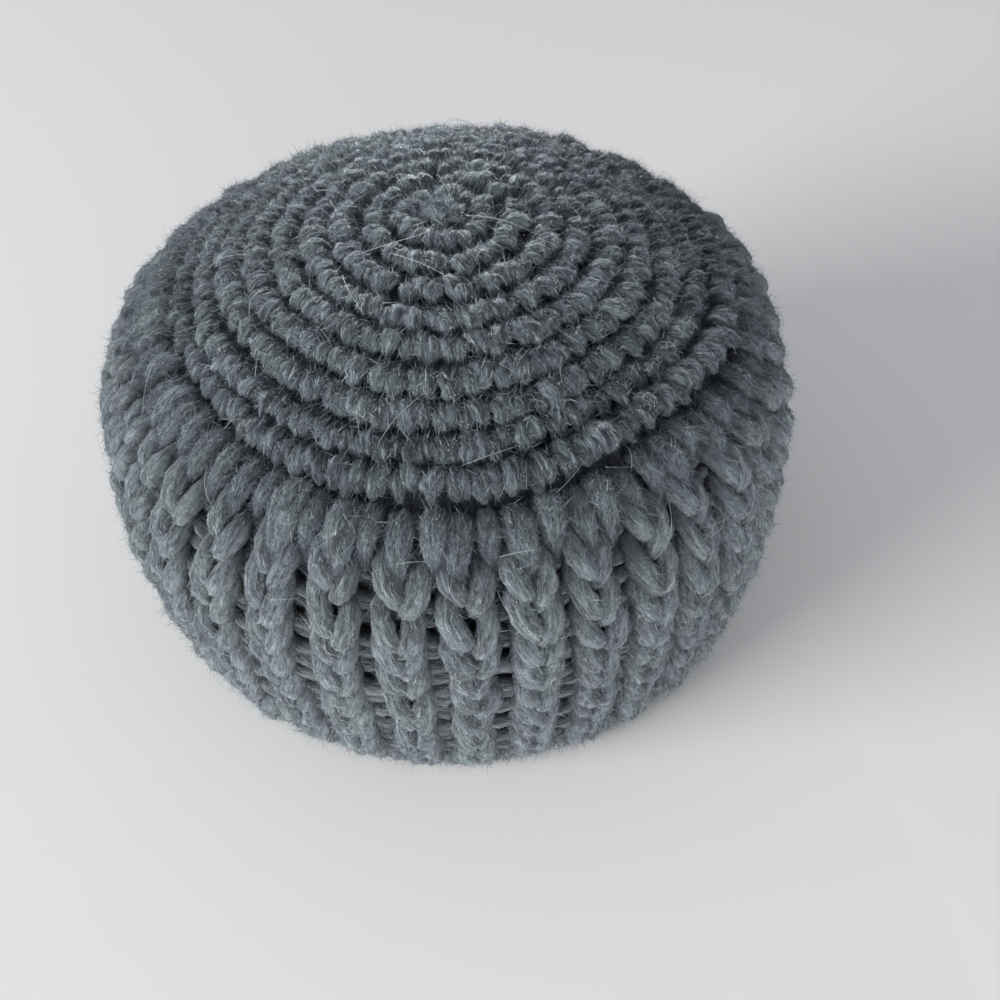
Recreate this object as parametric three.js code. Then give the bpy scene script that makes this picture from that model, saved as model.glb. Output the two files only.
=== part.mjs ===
// Crocheted wool cap: a nearly flat crown disc of concentric rounds, a raised last round round its edge,
// a band of vertical ribs that bulges over the shoulder and draws in again, and a plain hem.
// Millimetres, +Z up. The cap stands on its hem at z = 0, its axis is Z and its front faces -Y.
import * as THREE from "three";

// Main sizes of the fabric's outer face
const CROWN_HEIGHT = 108.7;
const CROWN_RADIUS = 71.6;
const CROWN_EDGE_HEIGHT = 89.7;
const WIDEST_RADIUS = 94.5;
const WIDEST_HEIGHT = 56;
const HEM_RADIUS = 83.8;

// Curvature: the doming of the crown, and the fullness of the shoulder and of the wall below it
const CROWN_DOMING = 2.2;
const SHOULDER_FULLNESS = 1.9;
const WALL_FULLNESS = 1.8;

// How the soft crown has settled: a little longer than wide, set back, and lower at the front
const CROWN_DEPTH_RATIO = 1.03;
const CROWN_SET_BACK = 3.8;
const CROWN_SLOPE = 0.074;

// Thickness of the worked fabric
const CROWN_THICKNESS = 7.5;
const BAND_THICKNESS = 8.5;

// Rounds of the crown, measured along the outer face from the centre
const CENTRE_ROSETTE = 12.6;
const ROUND_PITCH = 7.85;
const CROWN_ROUNDS = 7;
const GROOVE_DEPTH = 1.9;
const LAST_ROUND_START = CENTRE_ROSETTE + CROWN_ROUNDS * ROUND_PITCH;
const BAND_START = LAST_ROUND_START + ROUND_PITCH;

// Ribs of the band
const RIBS = 38;
const RIB_DEPTH = 3.2;
const RIB_PHASE = THREE.MathUtils.degToRad(-0.6);
const RIB_SECTION = [1, 0.5, 0, 0, 0.5];
const BAND_TUCK = 3.4;

// Hem
const HEM_WIDTH = 7;
const HEM_BULGE = 0.8;
const HEM_FLAT = 5.5;

const GAP = 0.3;
const ROUND_STEPS = 60;

// How far the crown's edge strays in and out, by direction
const EDGE_SLACK = [
  { degrees: -107, shift: 0.2 },
  { degrees: -54, shift: -2.2 },
  { degrees: -5, shift: 1.9 },
  { degrees: 37, shift: -1.5 },
  { degrees: 66, shift: 1.3 },
  { degrees: 120, shift: -0.9 },
  { degrees: 180, shift: 0.8 },
];

const YARN = { color: 0x6b7680, roughness: 0.95, metalness: 0 };

function smooth(share) {
  const s = THREE.MathUtils.clamp(share, 0, 1);
  return s * s * (3 - 2 * s);
}

function edgeSlack(azimuth) {
  const degrees = THREE.MathUtils.radToDeg(azimuth);
  const start = EDGE_SLACK[0].degrees;
  const turned = THREE.MathUtils.euclideanModulo(degrees - start, 360) + start;
  const next = EDGE_SLACK.findIndex((row) => row.degrees > turned);
  const from = EDGE_SLACK.at(next === -1 ? -1 : next - 1);
  const to = next === -1 ? EDGE_SLACK[0] : EDGE_SLACK[next];
  const span = THREE.MathUtils.euclideanModulo(to.degrees - from.degrees, 360);
  return THREE.MathUtils.lerp(from.shift, to.shift, smooth((turned - from.degrees) / span));
}

// The outer face's meridian as an arc length table, from the crown's centre down to the hem
function traceMeridian() {
  const STEPS = 240;
  const points = [];
  for (let i = 0; i <= STEPS; i += 1) {
    const out = i / STEPS;
    const drop = (CROWN_HEIGHT - CROWN_EDGE_HEIGHT) * out ** CROWN_DOMING;
    points.push({ r: CROWN_RADIUS * out, z: CROWN_HEIGHT - drop });
  }
  for (let i = 1; i <= STEPS; i += 1) {
    const angle = ((i / STEPS) * Math.PI) / 2;
    const out = Math.sin(angle) ** (2 / SHOULDER_FULLNESS);
    const up = Math.max(Math.cos(angle), 0) ** (2 / SHOULDER_FULLNESS);
    points.push({
      r: CROWN_RADIUS + (WIDEST_RADIUS - CROWN_RADIUS) * out,
      z: WIDEST_HEIGHT + (CROWN_EDGE_HEIGHT - WIDEST_HEIGHT) * up,
    });
  }
  for (let i = 1; i <= STEPS; i += 1) {
    const angle = ((i / STEPS) * Math.PI) / 2;
    const out = Math.max(Math.cos(angle), 0) ** (2 / WALL_FULLNESS);
    const down = Math.sin(angle) ** (2 / WALL_FULLNESS);
    points.push({
      r: HEM_RADIUS + (WIDEST_RADIUS - HEM_RADIUS) * out,
      z: WIDEST_HEIGHT * (1 - down),
    });
  }
  let arc = 0;
  return points.map((point, i) => {
    const last = points[Math.max(i - 1, 0)];
    arc += Math.hypot(point.r - last.r, point.z - last.z);
    return { ...point, arc };
  });
}

const MERIDIAN = traceMeridian();
const HEM_END = MERIDIAN.at(-1).arc;
const HEM_START = HEM_END - HEM_WIDTH;

function onMeridian(arc) {
  const wanted = THREE.MathUtils.clamp(arc, 0, HEM_END);
  const next = Math.max(MERIDIAN.findIndex((point) => point.arc >= wanted), 1);
  const from = MERIDIAN[next - 1];
  const to = MERIDIAN[next];
  const share = (wanted - from.arc) / (to.arc - from.arc);
  return {
    r: THREE.MathUtils.lerp(from.r, to.r, share),
    z: THREE.MathUtils.lerp(from.z, to.z, share),
  };
}

// A place in the fabric: so far along the meridian, and so deep below the outer face
function place(arc, depth, cut = 0) {
  const HALF_WINDOW = 2.5;
  const point = onMeridian(arc);
  const before = onMeridian(Math.max(arc - HALF_WINDOW, 0));
  const after = onMeridian(arc + HALF_WINDOW);
  const length = Math.hypot(after.r - before.r, after.z - before.z);
  const centre = arc === 0;
  const outR = centre ? 0 : (before.z - after.z) / length;
  const outZ = centre ? 1 : (after.r - before.r) / length;
  return { arc, r: point.r - outR * depth, z: point.z - outZ * depth, cutR: outR * cut, cutZ: outZ * cut };
}

// Sets a place of the even form where the settled, slightly uneven cap has it
function drape(spot, azimuth, relief) {
  const z = spot.z - spot.cutZ * relief;
  const settled = smooth(z / CROWN_EDGE_HEIGHT);
  const widestArc = (BAND_START + HEM_END) / 2;
  const inside = Math.min(spot.arc / BAND_START, 1) ** 2;
  const outside = 1 - smooth((spot.arc - BAND_START) / (widestArc - BAND_START));
  const r = Math.max(spot.r - spot.cutR * relief, 0);
  const reach = r === 0 ? 0 : r + edgeSlack(azimuth) * inside * outside;
  const depthRatio = THREE.MathUtils.lerp(1, CROWN_DEPTH_RATIO, settled);
  const y = -reach * Math.cos(azimuth) * depthRatio + CROWN_SET_BACK * settled;
  return [reach * Math.sin(azimuth), y, z + CROWN_SLOPE * y * settled];
}

// Turns a wall's section about the axis. A section that starts and ends on the axis makes a disc, another a ring.
function turn(section, steps, phase = 0, relief = () => 0) {
  const vertices = [];
  for (let step = 0; step < steps; step += 1) {
    const azimuth = (step / steps) * 2 * Math.PI + phase;
    section.forEach((spot) => vertices.push(...drape(spot, azimuth, relief(step))));
  }
  const disc = section[0].r === 0;
  const rows = section.length;
  const faces = [];
  for (let step = 0; step < steps; step += 1) {
    const here = step * rows;
    const there = ((step + 1) % steps) * rows;
    for (let row = 0; row < rows - (disc ? 1 : 0); row += 1) {
      const below = (row + 1) % rows;
      const fromPole = disc && row === 0;
      const toPole = disc && row === rows - 2;
      const first = fromPole ? 0 : here + row;
      const last = toPole ? rows - 1 : there + below;
      if (!toPole) faces.push(first, here + below, last);
      if (!fromPole) faces.push(first, last, there + row);
    }
  }
  const geometry = new THREE.BufferGeometry();
  geometry.setAttribute("position", new THREE.Float32BufferAttribute(vertices, 3));
  geometry.setIndex(faces);
  geometry.computeVertexNormals();
  return geometry;
}

function crownSection() {
  const outer = [place(0, 0), place(CENTRE_ROSETTE * 0.4, 0.5), place(CENTRE_ROSETTE * 0.75, 0.2)];
  for (let round = 0; round < CROWN_ROUNDS; round += 1) {
    const groove = CENTRE_ROSETTE + round * ROUND_PITCH;
    outer.push(place(groove, GROOVE_DEPTH));
    outer.push(place(groove + ROUND_PITCH * 0.32, 0));
    outer.push(place(groove + ROUND_PITCH * 0.68, 0));
  }
  outer.push(place(LAST_ROUND_START - GAP, GROOVE_DEPTH));
  const inner = [1, 0.8, 0.55, 0.3, 0.1, 0].map((share) =>
    place((LAST_ROUND_START - GAP) * share, CROWN_THICKNESS),
  );
  return [...outer, ...inner];
}

function lastRoundSection() {
  const rows = [
    { across: 0, depth: 1.6 },
    { across: 0.14, depth: -0.6 },
    { across: 0.42, depth: -1.6 },
    { across: 0.72, depth: -1.3 },
    { across: 0.95, depth: 0 },
    { across: 1.02, depth: 1.6 },
    { across: 0.96, depth: 3.2 },
    { across: 0.96, depth: CROWN_THICKNESS },
    { across: 0, depth: CROWN_THICKNESS },
  ];
  return rows.map((row) => place(LAST_ROUND_START + row.across * ROUND_PITCH, row.depth));
}

function bandSection() {
  const rows = [
    { along: 0, depth: BAND_TUCK, cut: 0.3 },
    { along: 0.035, depth: 1.6, cut: 0.5 },
    { along: 0.09, depth: 0.3, cut: 0.8 },
    { along: 0.19, depth: 0, cut: 1 },
    { along: 0.31, depth: 0, cut: 1 },
    { along: 0.45, depth: 0, cut: 1 },
    { along: 0.6, depth: 0, cut: 1 },
    { along: 0.75, depth: 0, cut: 1 },
    { along: 0.89, depth: 0, cut: 1 },
    { along: 1, depth: 0.4, cut: 0.7 },
    { along: 1, depth: BAND_THICKNESS, cut: 0 },
    { along: 0.75, depth: BAND_THICKNESS, cut: 0 },
    { along: 0.45, depth: BAND_THICKNESS, cut: 0 },
    { along: 0.22, depth: BAND_THICKNESS, cut: 0 },
    { along: 0.08, depth: BAND_THICKNESS, cut: 0 },
    { along: 0, depth: BAND_THICKNESS, cut: 0 },
  ];
  const start = BAND_START + GAP;
  const length = HEM_START - GAP - start;
  return rows.map((row) => place(start + row.along * length, row.depth, row.cut * RIB_DEPTH));
}

function hemSection() {
  const flatOuter = { ...place(HEM_END, 0), r: HEM_RADIUS + 1.4, z: 0 };
  const flatInner = { ...flatOuter, r: flatOuter.r - HEM_FLAT };
  return [
    place(HEM_START, 0.6),
    place(HEM_START + HEM_WIDTH * 0.3, -HEM_BULGE),
    place(HEM_START + HEM_WIDTH * 0.62, -HEM_BULGE),
    flatOuter,
    flatInner,
    { ...flatInner, r: flatInner.r - 2, z: 2.2 },
    place(HEM_START, BAND_THICKNESS),
  ];
}

function piece(name, geometry) {
  const mesh = new THREE.Mesh(geometry, new THREE.MeshStandardMaterial(YARN));
  mesh.name = name;
  return mesh;
}

const cap = new THREE.Group();
cap.add(piece("crown", turn(crownSection(), ROUND_STEPS)));
cap.add(piece("crown_edge", turn(lastRoundSection(), ROUND_STEPS)));
const ribRelief = (step) => RIB_SECTION[step % RIB_SECTION.length];
const recessPhase = RIB_PHASE - Math.PI / RIBS;
cap.add(piece("ribbed_band", turn(bandSection(), RIBS * RIB_SECTION.length, recessPhase, ribRelief)));
cap.add(piece("hem", turn(hemSection(), ROUND_STEPS)));

// The origin is the middle of the cap's footprint
const bounds = new THREE.Box3().setFromObject(cap);
const middle = bounds.getCenter(new THREE.Vector3());
cap.position.set(-middle.x, -middle.y, -bounds.min.z);

export default cap;
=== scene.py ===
"""A crocheted wool cap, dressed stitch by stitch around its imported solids.

Fabric places are given as an arc length down the meridian from the middle of the crown, an azimuth from the
front, and a lift above the fabric's outer face. Lengths are millimetres until a mesh is made.
"""
import math

import bpy
import numpy as np
from mathutils import Matrix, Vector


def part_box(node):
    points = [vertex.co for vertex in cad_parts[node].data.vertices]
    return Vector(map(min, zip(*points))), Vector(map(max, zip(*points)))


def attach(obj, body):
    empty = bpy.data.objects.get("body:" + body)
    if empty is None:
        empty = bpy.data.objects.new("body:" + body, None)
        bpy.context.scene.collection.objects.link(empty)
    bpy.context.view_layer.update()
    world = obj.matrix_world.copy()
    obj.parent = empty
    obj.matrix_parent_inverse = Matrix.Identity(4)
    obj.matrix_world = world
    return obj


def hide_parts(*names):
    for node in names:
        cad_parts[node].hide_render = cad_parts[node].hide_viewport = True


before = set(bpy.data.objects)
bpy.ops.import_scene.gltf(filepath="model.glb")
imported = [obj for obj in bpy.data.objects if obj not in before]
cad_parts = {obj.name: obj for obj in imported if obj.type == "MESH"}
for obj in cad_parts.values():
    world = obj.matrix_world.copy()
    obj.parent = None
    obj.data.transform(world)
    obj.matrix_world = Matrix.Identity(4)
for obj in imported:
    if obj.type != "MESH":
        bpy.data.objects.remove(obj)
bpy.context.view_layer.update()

MM = 0.001
TURN = 2 * math.pi
rng = np.random.default_rng(2107)


# Sizes read from the frame
def box_mm(node):
    low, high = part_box(node)
    return np.array(low) / MM, np.array(high) / MM


# How far the solids reach past the smooth form, at the crown's top and round the hem, or stop short of it
CROWN_RELIEF = 0.8
HEM_RELIEF = 3.9
BAND_SHORTFALL = 0.2

band_low, band_high = box_mm("ribbed_band")
hem_low, hem_high = box_mm("hem")
crown_high = box_mm("crown")[1]
WIDEST_RADIUS = (band_high[0] - band_low[0]) / 2 + BAND_SHORTFALL
HEM_RADIUS = (hem_high[0] - hem_low[0]) / 2 - HEM_RELIEF
CROWN_HEIGHT = crown_high[2] - CROWN_RELIEF
AXIS_X, AXIS_Y = (hem_low[:2] + hem_high[:2]) / 2

# Sizes of the form, as in the solids
CROWN_RADIUS = 71.6
CROWN_EDGE_HEIGHT = 89.7
WIDEST_HEIGHT = 56
CROWN_DOMING = 2.2
SHOULDER_FULLNESS = 1.9
WALL_FULLNESS = 1.8
CROWN_DEPTH_RATIO = 1.03
CROWN_SET_BACK = 3.8
CROWN_SLOPE = 0.074
CROWN_THICKNESS = 7.5
BAND_THICKNESS = 8.5
CENTRE_ROSETTE = 12.6
ROUND_PITCH = 7.85
CROWN_ROUNDS = 7
LAST_ROUND_START = CENTRE_ROSETTE + CROWN_ROUNDS * ROUND_PITCH
BAND_START = LAST_ROUND_START + ROUND_PITCH
RIBS = 38
STITCHES = 2 * RIBS
HEM_WIDTH = 7

# How far the crown's edge strays in and out: degrees from the front, and millimetres
EDGE_SLACK = np.array([(-107, 0.2), (-54, -2.2), (-5, 1.9), (37, -1.5), (66, 1.3), (120, -0.9), (180, 0.8)])

# How far the bulge of the band sags towards the wearer's right, and strays in and out of the round, as above
BAND_SAG = 1.6
BAND_SLACK = np.array([
    (-150, 1.0), (-108, 3.0), (-86, 0.4), (-72, -1.8), (-50, 0),
    (50, 0), (72, -2.0), (86, -2.4), (106, 1.6), (135, 1.0)])


# The form that every stitch sits on
def smooth(share):
    s = np.clip(share, 0, 1)
    return s * s * (3 - 2 * s)


def slack(table, azimuth):
    start = table[0, 0]
    turned = (np.degrees(azimuth) - start) % 360 + start
    at = np.append(table[:, 0], start + 360)
    shift = np.append(table[:, 1], table[0, 1])
    row = np.clip(np.searchsorted(at, turned, side="right") - 1, 0, len(at) - 2)
    share = smooth((turned - at[row]) / (at[row + 1] - at[row]))
    return shift[row] + (shift[row + 1] - shift[row]) * share


def trace_meridian(steps=240):
    out = np.linspace(0, 1, steps + 1)
    angle = out[1:] * math.pi / 2
    sine = np.sin(angle)
    cosine = np.clip(np.cos(angle), 0, 1)
    r = [CROWN_RADIUS * out]
    z = [CROWN_HEIGHT - (CROWN_HEIGHT - CROWN_EDGE_HEIGHT) * out**CROWN_DOMING]
    r.append(CROWN_RADIUS + (WIDEST_RADIUS - CROWN_RADIUS) * sine ** (2 / SHOULDER_FULLNESS))
    z.append(WIDEST_HEIGHT + (CROWN_EDGE_HEIGHT - WIDEST_HEIGHT) * cosine ** (2 / SHOULDER_FULLNESS))
    r.append(HEM_RADIUS + (WIDEST_RADIUS - HEM_RADIUS) * cosine ** (2 / WALL_FULLNESS))
    z.append(WIDEST_HEIGHT * (1 - sine ** (2 / WALL_FULLNESS)))
    r, z = np.concatenate(r), np.concatenate(z)
    arc = np.concatenate([[0], np.cumsum(np.hypot(np.diff(r), np.diff(z)))])
    return arc, r, z


MERIDIAN = trace_meridian()
HEM_END = MERIDIAN[0][-1]
HEM_START = HEM_END - HEM_WIDTH


def on_meridian(arc):
    return np.interp(arc, MERIDIAN[0], MERIDIAN[1]), np.interp(arc, MERIDIAN[0], MERIDIAN[2])


def drape(arc, azimuth, lift):
    """Places in the fabric as points in millimetres."""
    arc, azimuth, lift = np.broadcast_arrays(arc, azimuth, lift)
    half_window = 2.5
    r, z = on_meridian(arc)
    r_in, z_in = on_meridian(np.clip(arc - half_window, 0, HEM_END - half_window))
    r_out, z_out = on_meridian(arc + half_window)
    length = np.hypot(r_out - r_in, z_out - z_in)
    r = r + (z_in - z_out) / length * lift
    z = z + (r_out - r_in) / length * lift
    settled = smooth(z / CROWN_EDGE_HEIGHT)
    inside = np.minimum(arc / BAND_START, 1) ** 2
    widest_arc = (BAND_START + HEM_END) / 2
    outside = 1 - smooth((arc - BAND_START) / (widest_arc - BAND_START))
    down = np.clip((arc - BAND_START) / (HEM_END - BAND_START), 0, 1)
    bulge = np.sin(down * math.pi)
    r = np.maximum(r, 0) + slack(EDGE_SLACK, azimuth) * inside * outside + slack(BAND_SLACK, azimuth) * bulge
    y = -r * np.cos(azimuth) * (1 + (CROWN_DEPTH_RATIO - 1) * settled) + CROWN_SET_BACK * settled
    x = r * np.sin(azimuth) - BAND_SAG * bulge
    return np.stack([x + AXIS_X, y + AXIS_Y, z + CROWN_SLOPE * y * settled], -1)


def unit(v):
    return v / np.maximum(np.linalg.norm(v, axis=-1, keepdims=True), 1e-9)


def jitter(shape, amount):
    return rng.standard_normal(shape) * amount


def wander(angle, waves, amount):
    """A slow, uneven wave round the cap."""
    total = sum(np.sin(wave * angle + rng.uniform(0, TURN)) for wave in waves)
    return total * amount / math.sqrt(len(waves))


# Meshes
UV_PER_MM = 0.01
LOWEST_POINT = 0.1


def make_mesh(name, points, loops, sizes, uv, material, replaced=(), height=None):
    """Makes a joined mesh from arrays, in millimetres, and hands it to the frame.

    Height is each point's place above the fabric's outer face, which the wool reads to paint shade into
    creases and recesses.
    """
    points[:, 2] = np.maximum(points[:, 2], LOWEST_POINT)
    mesh = bpy.data.meshes.new(name)
    mesh.vertices.add(len(points))
    mesh.vertices.foreach_set("co", (points * MM).astype(np.float32).ravel())
    mesh.loops.add(len(loops))
    mesh.loops.foreach_set("vertex_index", loops.astype(np.int32))
    mesh.polygons.add(len(sizes))
    starts = np.concatenate([[0], np.cumsum(sizes)[:-1]])
    mesh.polygons.foreach_set("loop_start", starts.astype(np.int32))
    mesh.polygons.foreach_set("use_smooth", np.ones(len(sizes), bool))
    layer = mesh.uv_layers.new(name="yarn")
    layer.uv.foreach_set("vector", uv.astype(np.float32).ravel())
    if height is not None:
        depth = mesh.attributes.new("height", "FLOAT", "POINT")
        depth.data.foreach_set("value", height.astype(np.float32).ravel())
    mesh.update()
    mesh.validate()
    mesh.materials.append(material)
    piece = bpy.data.objects.new(name, mesh)
    bpy.context.scene.collection.objects.link(piece)
    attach(piece, "root")
    if replaced:
        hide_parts(*replaced)


def spin(arc, azimuth, lift, wide, tall, sides=8, lumps=0.06):
    """Strands of yarn along rows of fabric places.

    Gives their rings of points, and the frame along each strand, in which the loose fibres are rooted.
    """
    line = drape(arc, azimuth, lift)
    up = unit(drape(arc, azimuth, lift + 1) - line)
    along = unit(np.gradient(line, axis=1))
    side = unit(np.cross(along, up))
    up = np.cross(side, along)
    angle = np.linspace(0, TURN, sides, endpoint=False) - math.pi / 2
    across = np.cos(angle)[:, None] * side[:, :, None, :]
    rise = np.sin(angle)[:, None] * up[:, :, None, :]
    bulk = 1 + jitter(line.shape[:2] + (sides, 1), lumps)
    wide = np.broadcast_to(wide, line.shape[:2])[..., None]
    tall = np.broadcast_to(tall, line.shape[:2])[..., None]
    rings = line[:, :, None, :] + (across * wide[..., None] + rise * tall[..., None]) * bulk
    lift = np.broadcast_to(lift, line.shape[:2])[..., None]
    # Each point's height above the fabric's face, which the wool reads for its painted shade
    height = lift + np.sin(angle) * tall
    return {
        "line": line, "along": along, "side": side, "up": up,
        "wide": wide, "tall": tall, "lift": lift,
        "rings": rings, "height": height,
    }


def weave(name, yarns, material, replaced=()):
    """Joins strands into one mesh of closed tubes, with a map that runs along and round each strand."""
    points, loops, sizes, uvs = [], [], [], []
    base = 0
    for yarn in yarns:
        rings = yarn["rings"]
        count, sections, sides = rings.shape[:3]
        index = base + np.arange(count * sections * sides).reshape(count, sections, sides)
        turned = np.roll(index, -1, axis=2)
        quads = np.stack([index[:, :-1], turned[:, :-1], turned[:, 1:], index[:, 1:]], -1)
        step = np.linalg.norm(np.diff(yarn["line"], axis=1), axis=-1)
        run = np.concatenate([np.zeros((count, 1)), np.cumsum(step, axis=1)], 1)
        run = run + rng.uniform(0, 400, (count, 1))
        girth = np.mean(yarn["wide"] + yarn["tall"]) * math.pi
        round_low = np.broadcast_to(np.arange(sides) / sides * girth, (count, sections - 1, sides))
        round_high = round_low + girth / sides
        run_low = np.broadcast_to(run[:, :-1, None], round_low.shape)
        run_high = np.broadcast_to(run[:, 1:, None], round_low.shape)
        us = np.stack([run_low, run_low, run_high, run_high], -1)
        vs = np.stack([round_low, round_high, round_high, round_low], -1)
        caps = np.concatenate([index[:, 0, ::-1], index[:, -1]], 0)
        cap_u = np.concatenate([np.repeat(run[:, :1], sides, 1), np.repeat(run[:, -1:], sides, 1)], 0)
        cap_v = np.broadcast_to(np.arange(sides) / sides * girth, cap_u.shape)
        points.append(rings.reshape(-1, 3))
        loops += [quads.ravel(), caps.ravel()]
        sizes += [np.full(quads[..., 0].size, 4), np.full(len(caps), sides)]
        uvs += [np.stack([us, vs], -1).reshape(-1, 2), np.stack([cap_u, cap_v], -1).reshape(-1, 2)]
        base += rings[..., 0].size
    height = np.concatenate([yarn["height"].ravel() for yarn in yarns])
    make_mesh(
        name, np.concatenate(points), np.concatenate(loops), np.concatenate(sizes),
        np.concatenate(uvs) * UV_PER_MM, material, replaced, height)


# How much higher the last round stands off the band at its proudest, and where that is
LIP_STAND = 2.4
LIP_PROUDEST = math.radians(40)

# The last round starts a little further in than its pitch says, and its painted shade, on the wool and its
# hairs, darkens it from its own crest down
LIP_INSET = 0.9
LIP_SHADING_DEPTH = 1.6


def lip_stand(azimuth):
    return LIP_STAND * np.maximum(np.cos(azimuth - LIP_PROUDEST), 0)


# Crown rounds: lobes of yarn, two to a stitch, that hang over each other like shingles
def round_lobes(start, pitch, stitches, crest, drop, overhang, fullness=1.5):
    """One round of lobes: each climbs by the drop to its crest, and hangs past the pitch by the overhang."""
    steps = np.linspace(0, 1, 10)
    lobes = 2 * stitches
    own = TURN / lobes
    which = np.arange(lobes)
    toward = np.where(which % 2 == 0, 1, -1)[:, None]
    centre = ((which + 0.5) * own + rng.uniform(0, own))[:, None]
    pinch = 0.1 * toward * smooth(steps * 1.3 - 0.3)
    slant = (0.3 + jitter((lobes, 1), 0.4)) * (steps - 0.5)
    azimuth = centre + own * (pinch + slant + jitter((lobes, 1), 0.16))
    length = pitch + overhang + 0.8 + 0.6 * toward + jitter((lobes, 1), 0.6)
    arc = start + wander(centre, (2, 3, 7), 0.4) - 0.8 + steps * length
    rise = smooth(steps * 1.55)
    fall = smooth((steps - 0.7) / 0.3)
    lift = -drop + (drop + crest) * rise - 0.5 * drop * fall + jitter((lobes, 1), 0.35)
    half = max(on_meridian(start + pitch / 2)[0], 4) * own / 2
    bulk = (0.28 + 0.77 * np.sin(steps**1.1 * math.pi) ** 0.6) * (1 + jitter((lobes, 1), 0.14))
    return spin(np.maximum(arc, 0.3), azimuth, lift - 1.7, half * fullness * bulk, 1.8 * bulk, lumps=0.14)


# Each round has this many stitches more than the one inside it, and the innermost has as many
STITCHES_ADDED = 8
ROSETTE_PETALS = 6


def crown_yarns():
    yarns = []
    for number in range(CROWN_ROUNDS):
        start = CENTRE_ROSETTE + number * ROUND_PITCH
        stitches = STITCHES_ADDED * (number + 2)
        yarns.append(round_lobes(start, ROUND_PITCH, stitches, crest=0.6, drop=4.0, overhang=1.0))
    yarns.append(round_lobes(4.6, 8.0, STITCHES_ADDED, crest=0.6, drop=2.6, overhang=1.0))
    steps = np.linspace(0, 1, 9)
    turn = np.arange(ROSETTE_PETALS)[:, None] / ROSETTE_PETALS * TURN
    arc = 0.6 + 5.0 * steps + jitter((ROSETTE_PETALS, 1), 0.2)
    lift = -1.2 + 0.9 * np.sin(steps * math.pi) + jitter((ROSETTE_PETALS, 1), 0.2)
    bulk = 0.5 + 0.5 * np.sin(steps * math.pi)
    yarns.append(spin(arc, turn + steps * 1.1, lift, 1.9 * bulk, 1.6 * bulk))
    return yarns


def last_round_yarns():
    around = np.arange(2 * STITCHES)[:, None] / (2 * STITCHES) * TURN
    stand = lip_stand(around)
    start = LAST_ROUND_START - LIP_INSET
    yarn = round_lobes(start, ROUND_PITCH, STITCHES, crest=1.1 + stand, drop=3.6, overhang=0.6, fullness=1.45)
    # Painted shade: the heights that the wool and the hairs read are lowered, so the last round is painted
    # darker
    for depth in ("lift", "height"):
        yarn[depth] = yarn[depth] - LIP_SHADING_DEPTH - stand[..., None]
    return [yarn]


# Band: posts under the lip, then the ribs' nested loops, and the ladders' rungs between them
POST_START = BAND_START - 2.2
RIB_START = BAND_START + 9.5
RIB_END = HEM_START + 2.5
RIB_ROWS = 9
ROW_PITCH = (RIB_END - RIB_START) / RIB_ROWS
ROW_CROWDING = 0.9
RIB_AZIMUTH = math.radians(-0.6) + np.arange(RIBS) / RIBS * TURN
RIB_LEAN = wander(RIB_AZIMUTH, (2, 3, 5), 1.3) + jitter(RIBS, 0.35)
RIB_SWAY = rng.uniform(0, TURN, RIBS)


def row_arc(row):
    """How far down the meridian a row lies: the rows close up towards the hem."""
    return RIB_START + (RIB_END - RIB_START) * (row / RIB_ROWS) ** ROW_CROWDING


def rib_drift(rib, arc):
    """How far a rib leans and sways from its own azimuth on its way down."""
    down = (arc - BAND_START) / (HEM_END - BAND_START)
    return (RIB_LEAN[rib] * np.sin(down * math.pi) + 0.45 * np.sin(down * 9 + RIB_SWAY[rib])) / WIDEST_RADIUS


def rib_place(rib, arc):
    return RIB_AZIMUTH[rib] + rib_drift(rib, arc)


def ladder_place(rib, arc):
    return RIB_AZIMUTH[rib] + math.pi / RIBS + (rib_drift(rib, arc) + rib_drift((rib + 1) % RIBS, arc)) / 2


# The posts over the ribs and over the ladders: place, length, half-width, and how far the lower end sinks
POSTS = (rib_place, 22.8, 3.4, 0.8), (ladder_place, 18.8, 3.1, 2.2)
POST_HALF_DEPTH = 2.6


def post_yarns():
    steps = np.linspace(0, 1, 11)
    rib = np.arange(RIBS)[:, None]
    yarns = []
    for place, length, wide, sink in POSTS:
        arc = POST_START + steps * (length + jitter((RIBS, 1), 1.5))
        tilt = jitter((RIBS, 1), 0.6) + jitter((RIBS, 1), 1.6) * (steps - 0.5)
        entry = -5.0 * (1 - smooth(steps * 4.4))
        entry = entry - lip_stand(place(rib, BAND_START)) * (1 - smooth(steps * 1.5))
        lift = -2.6 + entry - sink * smooth(steps * 2.2 - 1.2) + jitter((RIBS, 1), 0.4)
        bulk = 0.26 + 0.76 * np.sin(steps**0.6 * math.pi) ** 0.9
        bulk = bulk * (1 + jitter((RIBS, 1), 0.12))
        azimuth = place(rib, arc) + tilt / WIDEST_RADIUS
        yarns.append(spin(arc, azimuth, lift, wide * bulk, POST_HALF_DEPTH * bulk, sides=10))
    return yarns


# The two strands of each row of a rib, by their places: across, up from the row's tip, lift, half-width
HOOK = np.array([
    (-2.9, 16.0, -6.2, 1.3), (-3.6, 12.8, -5.1, 2.0), (-3.7, 9.8, -3.9, 2.4), (-3.3, 7.2, -2.9, 2.6),
    (-2.6, 4.9, -1.9, 2.7), (-1.7, 2.7, -1.8, 2.7), (-0.7, 0.8, -2.2, 2.5), (0.3, -0.5, -3.2, 1.8),
    (0.9, -1.2, -4.7, 1.0)])
DROP = np.array([
    (2.8, 11.4, -6.0, 1.2), (3.6, 8.6, -4.8, 2.1), (3.8, 5.8, -3.5, 2.5), (3.4, 3.0, -2.5, 2.7),
    (2.7, 0.5, -2.0, 2.7), (1.9, -1.8, -2.2, 2.5), (1.0, -3.8, -3.1, 1.9), (0.3, -5.3, -4.6, 1.0)])

# Each strand with the number of rings that it is swept through
RIB_STRANDS = (HOOK, 14), (DROP, 11)


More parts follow.
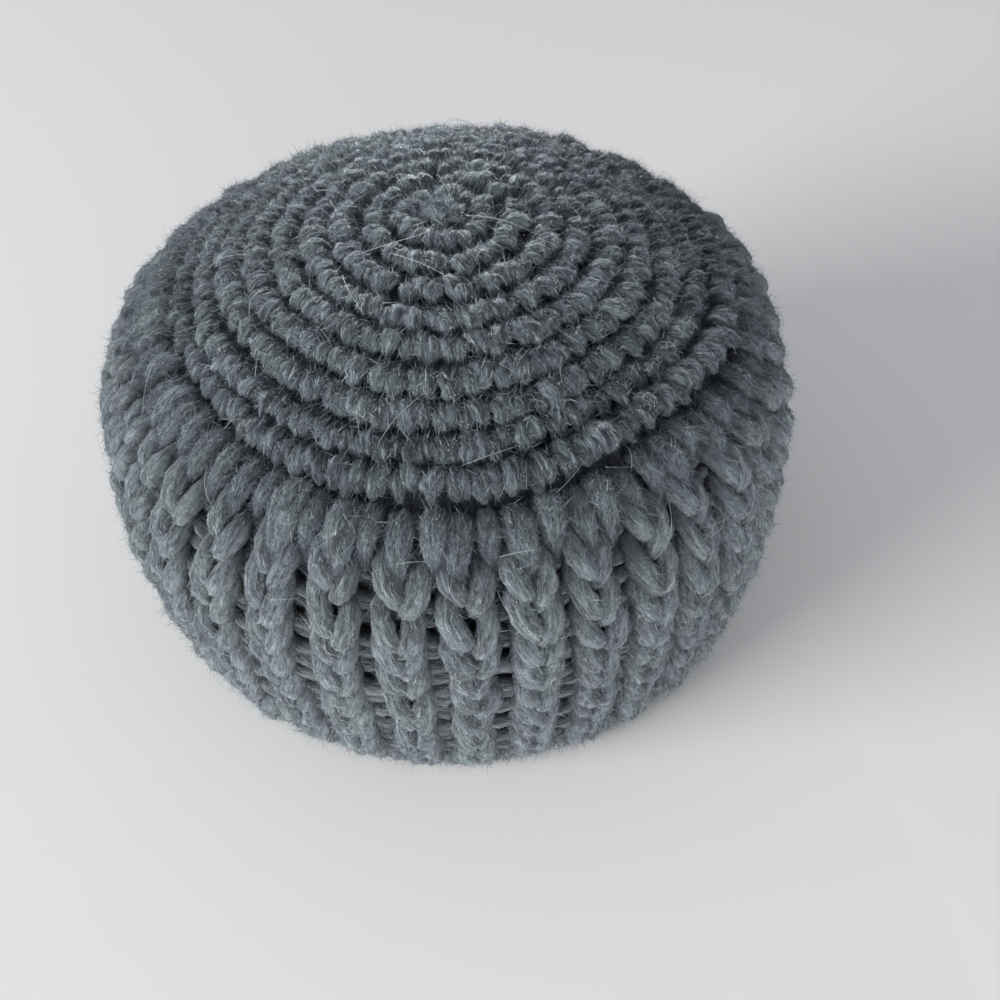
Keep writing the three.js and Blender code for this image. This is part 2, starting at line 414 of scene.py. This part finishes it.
def rib_yarns():
    rib = np.repeat(np.arange(RIBS), RIB_ROWS)[:, None]
    row = np.tile(np.arange(RIB_ROWS), RIBS)[:, None]
    count = len(rib)
    first = np.where(row == 0, 1.0, 0.0)
    fuller = 1 + 0.05 * (1 - row / RIB_ROWS)
    tip = row_arc(row + 1) + jitter((count, 1), 0.7)
    yarns = []
    for strand, sections in RIB_STRANDS:
        at = np.linspace(0, len(strand) - 1, sections)
        across, up, lift, half = (np.interp(at, np.arange(len(strand)), column) for column in strand.T)
        arc = tip - up * (1 + jitter((count, 1), 0.08)) + jitter((count, 1), 0.5)
        spread = across * (fuller - 0.06 * first + jitter((count, 1), 0.1)) + jitter((count, 1), 0.4)
        azimuth = rib_place(rib, arc) + spread / WIDEST_RADIUS
        bulk = fuller + jitter((count, 1), 0.08)
        lift = lift - 0.6 * first + jitter((count, 1), 0.35)
        yarns.append(spin(arc, azimuth, lift, half * bulk, 0.95 * half * bulk, sides=10, lumps=0.08))
    return yarns


# The two rungs of each row of a ladder: share of the way down the row, half-width and depth
RUNGS = (0.36, 2.1, 4.6), (0.7, 2.0, 4.9)
RUNG_REACH = 4.8


def rung_yarns():
    yarns = []
    steps = np.linspace(-1, 1, 6)
    rib = np.repeat(np.arange(RIBS), RIB_ROWS)[:, None]
    row = np.tile(np.arange(RIB_ROWS), RIBS)[:, None]
    count = len(rib)
    for share, half, depth in RUNGS:
        arc = row_arc(row + share) - 1 + 0.5 * (1 - steps**2)
        arc = arc + jitter((count, 1), 0.5) + jitter((count, 1), 0.6) * steps
        azimuth = ladder_place(rib, arc) + steps * RUNG_REACH / WIDEST_RADIUS
        sunk = np.maximum(2.4 - 0.6 * row, 0)
        lift = -depth - 0.8 * steps**2 - sunk + jitter((count, 1), 0.5)
        wide = half * (1 + jitter((count, 1), 0.15))
        yarns.append(spin(arc, azimuth, lift, wide, half, sides=7, lumps=0.1))
    return yarns


def hem_yarns():
    steps = np.linspace(0, 1, 9)
    centre = RIB_AZIMUTH[0] + (np.arange(STITCHES) / STITCHES * TURN)[:, None]
    arc = HEM_START - 2.5 + steps * (HEM_WIDTH + 2.2) + jitter((STITCHES, 1), 0.25)
    azimuth = centre + (0.9 * steps + jitter((STITCHES, 1), 0.25)) / HEM_RADIUS
    lift = -4.2 + 2.1 * np.sin(np.clip(steps * 1.1, 0, 1) * math.pi * 0.62) + jitter((STITCHES, 1), 0.15)
    bulk = 0.75 + 0.3 * np.sin(steps * math.pi)
    return [spin(arc, azimuth, lift, 3.6 * bulk, 1.95 * bulk)]


# Backing: the fabric's body behind the stitches, and its plain wrong side inside the cap
BACKING_END = HEM_END - 1

# Its place in the yarn map: how wide a column is, and where the wrong side starts
MAP_COLUMN = 2.5
MAP_WRONG_SIDE = 400


def backing(material):
    columns = STITCHES * 3
    azimuth = np.arange(columns) / columns * TURN
    outer_arc = np.linspace(0.05, BACKING_END, 32)[:, None]
    inner_arc = np.linspace(BACKING_END, 0.05, 100)[:, None]
    depth = np.where(outer_arc < LAST_ROUND_START, 4.4, 5.0 + 2.4 * smooth((outer_arc - BAND_START) / 6))
    depth = np.where(outer_arc > HEM_START, 4.6, depth)
    thick = np.where(inner_arc < BAND_START, CROWN_THICKNESS, BAND_THICKNESS)
    phase = np.where(inner_arc < BAND_START, inner_arc - CENTRE_ROSETTE, inner_arc - RIB_START)
    pitch = np.where(inner_arc < BAND_START, ROUND_PITCH, ROW_PITCH)
    ridge = np.abs(np.cos(math.pi * phase / pitch))
    stitch = np.abs(np.cos(azimuth * STITCHES / 2))
    relief = 0.9 * ridge * (0.45 + 0.55 * stitch)
    rows = [drape(outer_arc, azimuth, -depth), drape(inner_arc, azimuth, 1.1 - thick - relief)]
    points = np.concatenate(rows)
    index = np.arange(len(points) * columns).reshape(-1, columns)
    turned = np.roll(index, -1, axis=1)
    quads = np.stack([index[:-1], index[1:], turned[1:], turned[:-1]], -1)
    loops = np.concatenate([quads.ravel(), index[0], index[-1, ::-1]])
    sizes = np.concatenate([np.full(quads[..., 0].size, 4), [columns, columns]])
    down = np.concatenate([outer_arc, MAP_WRONG_SIDE - inner_arc]) * np.ones(columns)
    around = np.arange(columns) * np.ones_like(down) * MAP_COLUMN
    corner_u = np.stack([around[:-1], around[1:], around[1:] + MAP_COLUMN, around[:-1] + MAP_COLUMN], -1)
    corner_v = np.stack([down[:-1], down[1:], down[1:], down[:-1]], -1)
    uv = np.concatenate([np.stack([corner_u, corner_v], -1).reshape(-1, 2), np.zeros((2 * columns, 2))])
    # Painted shade: the outer face carries its depth as height, so the wool paints it dark; the wrong side
    # carries none
    height = np.concatenate([-depth, np.zeros_like(inner_arc)]) * np.ones(columns)
    make_mesh(
        "cap_backing", points.reshape(-1, 3), loops, sizes,
        uv * UV_PER_MM, material, height=height)


# Loose fibres: short fine hairs, each a tapered blade that leans out of a strand
def fuzz(name, yarns, counts, length, lean, stray=0.6, half=0.05, pale=0.0, painted_back_light=0.0):
    """Roots hairs on the outer side of the strands, with a count for each set of strands, and tints those
    rooted deep in the creases darker as painted shade.

    Lean is how far they stand out, stray how far they turn off the strand, half their half-width at the root,
    pale the least share of the way to the palest tint, and painted_back_light how much denser they are at the
    back, which paints the back lighter as painted light.
    """
    blades, shades = [], []
    for yarn, count in zip(yarns, counts):
        strands, sections = yarn["line"].shape[:2]
        # Painted light: hairs crowd towards the back when painted_back_light is above zero
        chance = np.exp(painted_back_light * (yarn["line"][:, sections // 2, 1] - AXIS_Y) / CROWN_RADIUS)
        strand = rng.choice(strands, count, p=chance / chance.sum())
        at = rng.uniform(0.3, sections - 1.3, count)
        low = at.astype(int)
        share = (at - low)[:, None]

        def here(key):
            values = np.broadcast_to(yarn[key], yarn["line"].shape[:2] + yarn[key].shape[2:])
            return values[strand, low] * (1 - share) + values[strand, low + 1] * share

        side, up, along = here("side"), here("up"), here("along")
        angle = rng.uniform(0.1, 0.9, (count, 1)) * math.pi
        outward = unit(np.cos(angle) * side + np.sin(angle) * up)
        root = here("line") + np.cos(angle) * side * here("wide") + np.sin(angle) * up * here("tall")
        heading = along * rng.choice([-1, 1], (count, 1)) + jitter((count, 3), stray)
        heading = unit(heading + outward * (0.15 + lean * rng.exponential(1, (count, 1)).clip(0, 2.5)))
        span = length * (0.4 + rng.exponential(0.6, (count, 1)).clip(0, 1.8))
        thick = unit(np.cross(heading, jitter((count, 3), 1))) * half * rng.uniform(0.7, 1.5, (count, 1))
        blades.append(np.stack([root + thick, root - thick, root + heading * span], 1))
        # Painted shade: a hair rooted deeper below the fabric's face gets a darker tint
        rooted = here("lift") + np.sin(angle) * here("tall")
        shades.append(np.clip(rng.uniform(pale, 1, count) * smooth((rooted[:, 0] + 5) / 5), 0.02, 0.98))
    points = np.concatenate(blades)
    count = len(points)
    uv = np.stack([np.repeat(np.concatenate(shades), 3), np.tile([0.02, 0.02, 0.98], count)], -1)
    make_mesh(name, points.reshape(-1, 3), np.arange(3 * count), np.full(count, 3), uv, hairs)


def per_strand(yarns, hairs_each):
    return [len(yarn["line"]) * hairs_each for yarn in yarns]


def stray_yarns(count):
    """Long single hairs that have worked loose: rooted in the fabric, and free at the far end."""
    steps = np.linspace(0, 1, 9)
    root = rng.uniform(0.05, 0.9, (count, 1)) * HEM_END
    heading = rng.uniform(0, TURN, (count, 1)) + jitter((count, 1), 0.5) * steps
    length = 4 + rng.exponential(5, (count, 1)).clip(0, 20)
    arc = np.clip(root + length * steps * np.cos(heading), 2, HEM_END - 3)
    radius = np.maximum(on_meridian(arc)[0], 12)
    azimuth = rng.uniform(0, TURN, (count, 1)) + length * steps * np.sin(heading) / radius
    rise = rng.uniform(1.6, 3.6, (count, 1))
    lift = -1.2 + rise * np.sin(steps * math.pi * rng.uniform(0.5, 0.95, (count, 1)))
    return [spin(arc, azimuth, lift, 0.04, 0.04, sides=3, lumps=0)]


# Materials
def add(tree, kind, **values):
    node = tree.nodes.new(kind)
    for key, value in values.items():
        setattr(node, key, value)
    return node


def feed(tree, socket, value):
    if isinstance(value, bpy.types.NodeSocket):
        tree.links.new(value, socket)
    else:
        socket.default_value = value


def mix_colour(tree, share, first, second):
    node = add(tree, "ShaderNodeMix", data_type="RGBA")
    for socket, value in zip((node.inputs[0], node.inputs[6], node.inputs[7]), (share, first, second)):
        feed(tree, socket, value)
    return node.outputs[2]


def combine(tree, operation, first, second):
    node = add(tree, "ShaderNodeMath", operation=operation)
    feed(tree, node.inputs[0], first)
    feed(tree, node.inputs[1], second)
    return node.outputs[0]


def noise(tree, vector, scale, detail, roughness=0.5):
    node = add(tree, "ShaderNodeTexNoise")
    tree.links.new(vector, node.inputs["Vector"])
    node.inputs["Scale"].default_value = scale
    node.inputs["Detail"].default_value = detail
    node.inputs["Roughness"].default_value = roughness
    return node.outputs["Fac"]


def stretched(tree, vector, scale, turn):
    node = add(tree, "ShaderNodeMapping")
    tree.links.new(vector, node.inputs["Vector"])
    node.inputs["Rotation"].default_value = (0, 0, turn)
    node.inputs["Scale"].default_value = scale + (1,)
    return node.outputs["Vector"]


def ramp(tree, value, low, high):
    node = add(tree, "ShaderNodeMapRange")
    tree.links.new(value, node.inputs["Value"])
    node.inputs["From Min"].default_value = low
    node.inputs["From Max"].default_value = high
    return node.outputs["Result"]


def new_material(name):
    material = bpy.data.materials.new(name)
    material.use_nodes = True
    tree = material.node_tree
    return material, tree, tree.nodes["Principled BSDF"]


# The same yarn's green-grey and blue-grey, painted darker on the crown as painted shade and lighter on the
# band as painted light;
# the dark of the fibre streaks, which is also the painted shade of the creases; and the palest fibres
CROWN_HUES_PAINTED_DARKER = (0.080, 0.107, 0.103, 1), (0.094, 0.112, 0.142, 1)
BAND_HUES_PAINTED_LIGHTER = (0.098, 0.131, 0.128, 1), (0.117, 0.140, 0.177, 1)
# The dark of the fibre streaks, and the painted shade in creases and recesses
DARK_FIBRES_AND_PAINTED_SHADE = (0.011, 0.014, 0.017, 1)
PALE = (0.25, 0.285, 0.30, 1)

# The tints of single hairs, each with its share of the way from dark to pale; the dark end also serves as
# painted shade for hairs deep in creases
HAIR_TINTS = (
    (0.0, (0.02, 0.026, 0.028, 1)),
    (0.4, CROWN_HUES_PAINTED_DARKER[1]),
    (0.8, (0.2, 0.24, 0.265, 1)),
    (1.0, (0.34, 0.38, 0.38, 1)),
)


def wool(name, hues, sheen):
    """Brushed wool: fibres that run along the yarn and across each other, heathered, with painted shade in
    the gaps between strands.
    """
    material, tree, shader = new_material(name)
    place = add(tree, "ShaderNodeTexCoord").outputs["Object"]
    yarn = add(tree, "ShaderNodeUVMap", uv_map="yarn").outputs["UV"]
    tint = ramp(tree, noise(tree, place, 60, 3), 0.4, 0.6)
    along = noise(tree, stretched(tree, yarn, (24, 110), 0.2), 1.0, 5, 0.75)
    across = noise(tree, stretched(tree, yarn, (50, 130), -0.6), 1.0, 4, 0.75)
    clump = noise(tree, stretched(tree, yarn, (14, 40), 0.1), 1.0, 2)
    colour = mix_colour(tree, tint, *hues)
    colour = mix_colour(tree, ramp(tree, clump, 0.54, 0.33), colour, DARK_FIBRES_AND_PAINTED_SHADE)
    colour = mix_colour(tree, ramp(tree, along, 0.52, 0.38), colour, DARK_FIBRES_AND_PAINTED_SHADE)
    colour = mix_colour(tree, ramp(tree, along, 0.54, 0.66), colour, PALE)
    colour = mix_colour(tree, ramp(tree, across, 0.55, 0.69), colour, PALE)
    # Painted shade: the lower a point lies below the fabric's outer face, the nearer to dark it is painted,
    # in creases, slots and recesses
    height = add(tree, "ShaderNodeAttribute", attribute_name="height").outputs["Fac"]
    colour = mix_colour(tree, ramp(tree, height, -0.4, -4.4), colour, DARK_FIBRES_AND_PAINTED_SHADE)
    tree.links.new(colour, shader.inputs["Base Color"])
    shader.inputs["Roughness"].default_value = 0.95
    shader.inputs["Specular IOR Level"].default_value = 0.15
    shader.inputs["Sheen Weight"].default_value = sheen
    shader.inputs["Sheen Roughness"].default_value = 0.5
    shader.inputs["Sheen Tint"].default_value = (0.88, 0.94, 1.0, 1)
    relief = combine(tree, "ADD", combine(tree, "ADD", along, across), clump)
    bump = add(tree, "ShaderNodeBump")
    bump.inputs["Strength"].default_value = 1.0
    bump.inputs["Distance"].default_value = 0.0018
    tree.links.new(relief, bump.inputs["Height"])
    tree.links.new(bump.outputs["Normal"], shader.inputs["Normal"])
    return material


def fibre_material(name):
    """Single hairs: each has its own tint, from dark to pale, darker where it is rooted deep in a crease, as
    painted shade.
    """
    material, tree, shader = new_material(name)
    source = add(tree, "ShaderNodeUVMap", uv_map="yarn").outputs["UV"]
    shades = add(tree, "ShaderNodeValToRGB")
    hue = add(tree, "ShaderNodeSeparateXYZ")
    tree.links.new(source, hue.inputs[0])
    tree.links.new(hue.outputs["X"], shades.inputs["Fac"])
    while len(shades.color_ramp.elements) < len(HAIR_TINTS):
        shades.color_ramp.elements.new(0.5)
    for element, (position, colour) in zip(shades.color_ramp.elements, HAIR_TINTS):
        element.position = position
        element.color = colour
    tree.links.new(shades.outputs["Color"], shader.inputs["Base Color"])
    shader.inputs["Roughness"].default_value = 0.75
    shader.inputs["Specular IOR Level"].default_value = 0.25
    return material


# Hairs on each strand of the crown, and on each set of strands of the band
CROWN_HAIRS = 190
CROWN_NAP_HAIRS = 130
LAST_ROUND_HAIRS = 230
RIB_HAIRS = 110000, 80000
POST_HAIRS = 46000, 36000
HEM_HAIRS = 20000
LADDER_HAIRS = 13000, 13000
STRAY_HAIRS = 190


# Pieces
# Crown and band are one yarn: the crown's copy is painted darker as painted shade, the band's lighter as
# painted light
crown_wool = wool("wool_crown", CROWN_HUES_PAINTED_DARKER, sheen=0.15)
band_wool = wool("wool_band", BAND_HUES_PAINTED_LIGHTER, sheen=0.35)
hairs = fibre_material("wool_fibre")

crown = crown_yarns()
last_round = last_round_yarns()
ribs = rib_yarns()
posts = post_yarns()
rungs = rung_yarns()
hem = hem_yarns()
weave("crown_rounds", crown, crown_wool, ["crown"])
weave("crown_last_round", last_round, crown_wool, ["crown_edge"])
weave("band_ribs", ribs, band_wool, ["ribbed_band"])
weave("band_posts", posts, band_wool)
weave("band_ladders", rungs, band_wool)
weave("hem_row", hem, band_wool, ["hem"])
backing(band_wool)
fuzz("crown_fuzz", crown, per_strand(crown, CROWN_HAIRS), length=1.9, lean=0.35, stray=0.9)
# Pale nap, denser towards the back: partly the wool's real nap, partly painted light that makes the crown's
# back lighter
fuzz("crown_nap_and_painted_back_light", crown, per_strand(crown, CROWN_NAP_HAIRS),
     length=1.2, lean=1.1, half=0.04, pale=0.6, painted_back_light=1.5)
fuzz("last_round_fuzz", last_round, per_strand(last_round, LAST_ROUND_HAIRS),
     length=1.6, lean=0.2, stray=0.7)
fuzz("rib_fuzz", ribs, RIB_HAIRS, length=2.0, lean=0.2, stray=0.48)
fuzz("post_fuzz", posts + hem, POST_HAIRS + (HEM_HAIRS,), length=2.0, lean=0.2, stray=0.5)
fuzz("ladder_fuzz", rungs, LADDER_HAIRS, length=1.8, lean=0.4)
weave("stray_hairs", stray_yarns(STRAY_HAIRS), hairs)


# Floor, lamps and camera. The floor and the lamps are in metres
FLOOR_REACH = 6.0

# Lamps: place, target, width and height of the panel, power, and spread in degrees
LAMPS = {
    "window_left": ((-3.0, -1.2, 0.7), (0, 0, 0.05), 2.0, 1.2, 211, 180),
    "room_front": ((0.4, -2.4, 0.13), (0, 0, 0.04), 2.0, 0.2, 66, 180),
    "rim_back": ((-0.05, 1.3, 0.55), (0, 0.03, 0.11), 0.1, 0.1, 0.17, 5),
}

# The camera: millimetres before the cap's axis and above the floor, then pitch, yaw and roll in degrees
CAMERA_BEFORE = 209.7
CAMERA_ABOVE = 225.4
CAMERA_ANGLES = 45.65, 3.14, -1.7
FOCAL_PX = 948.2
PICTURE_PX = 1000
SENSOR_WIDTH = 36


def build_stage():
    mesh = bpy.data.meshes.new("floor")
    reach = FLOOR_REACH
    corners = [(-reach, -reach, 0), (reach, -reach, 0), (reach, reach, 0), (-reach, reach, 0)]
    mesh.from_pydata(corners, [], [(0, 1, 2, 3)])
    floor = bpy.data.objects.new("floor", mesh)
    bpy.context.scene.collection.objects.link(floor)
    material, tree, shader = new_material("pale_floor")
    shader.inputs["Base Color"].default_value = (0.8, 0.795, 0.785, 1)
    shader.inputs["Roughness"].default_value = 0.7
    mesh.materials.append(material)


def area_light(name, place, target, width, height, power, spread):
    data = bpy.data.lights.new(name, "AREA")
    data.shape = "RECTANGLE"
    data.size = width
    data.size_y = height
    data.energy = power
    data.spread = math.radians(spread)
    lamp = bpy.data.objects.new(name, data)
    back = unit(np.array(place, float) - np.array(target, float))
    right = unit(np.cross((0, 0, 1), back))
    turn = Matrix(np.stack([right, np.cross(back, right), back], 1).tolist())
    lamp.matrix_world = Matrix.Translation(place) @ turn.to_4x4()
    bpy.context.scene.collection.objects.link(lamp)


def build_light():
    world = bpy.data.worlds.new("room")
    bpy.context.scene.world = world
    world.use_nodes = True
    background = world.node_tree.nodes["Background"]
    background.inputs["Color"].default_value = (0.93, 0.95, 1.0, 1)
    background.inputs["Strength"].default_value = 0.5
    for name, lamp in LAMPS.items():
        area_light(name, *lamp)


def build_camera():
    pitch, yaw, roll = (math.radians(angle) for angle in CAMERA_ANGLES)
    place = np.array([AXIS_X, AXIS_Y - CAMERA_BEFORE, CAMERA_ABOVE]) * MM
    forward = np.array([math.sin(yaw) * math.cos(pitch), math.cos(yaw) * math.cos(pitch), -math.sin(pitch)])
    right = unit(np.cross(forward, (0, 0, 1)))
    up = np.cross(right, forward)
    rolled_right = math.cos(roll) * right + math.sin(roll) * up
    rolled_up = math.cos(roll) * up - math.sin(roll) * right
    data = bpy.data.cameras.new("camera")
    data.sensor_fit = "HORIZONTAL"
    data.sensor_width = SENSOR_WIDTH
    data.lens = FOCAL_PX / PICTURE_PX * SENSOR_WIDTH
    data.clip_start = 0.01
    camera = bpy.data.objects.new("camera", data)
    turn = Matrix(np.stack([rolled_right, rolled_up, -forward], 1).tolist())
    camera.matrix_world = Matrix.Translation(place.tolist()) @ turn.to_4x4()
    bpy.context.scene.collection.objects.link(camera)
    bpy.context.scene.camera = camera


build_stage()
build_light()
build_camera()
bpy.context.scene.view_settings.view_transform = "Standard"
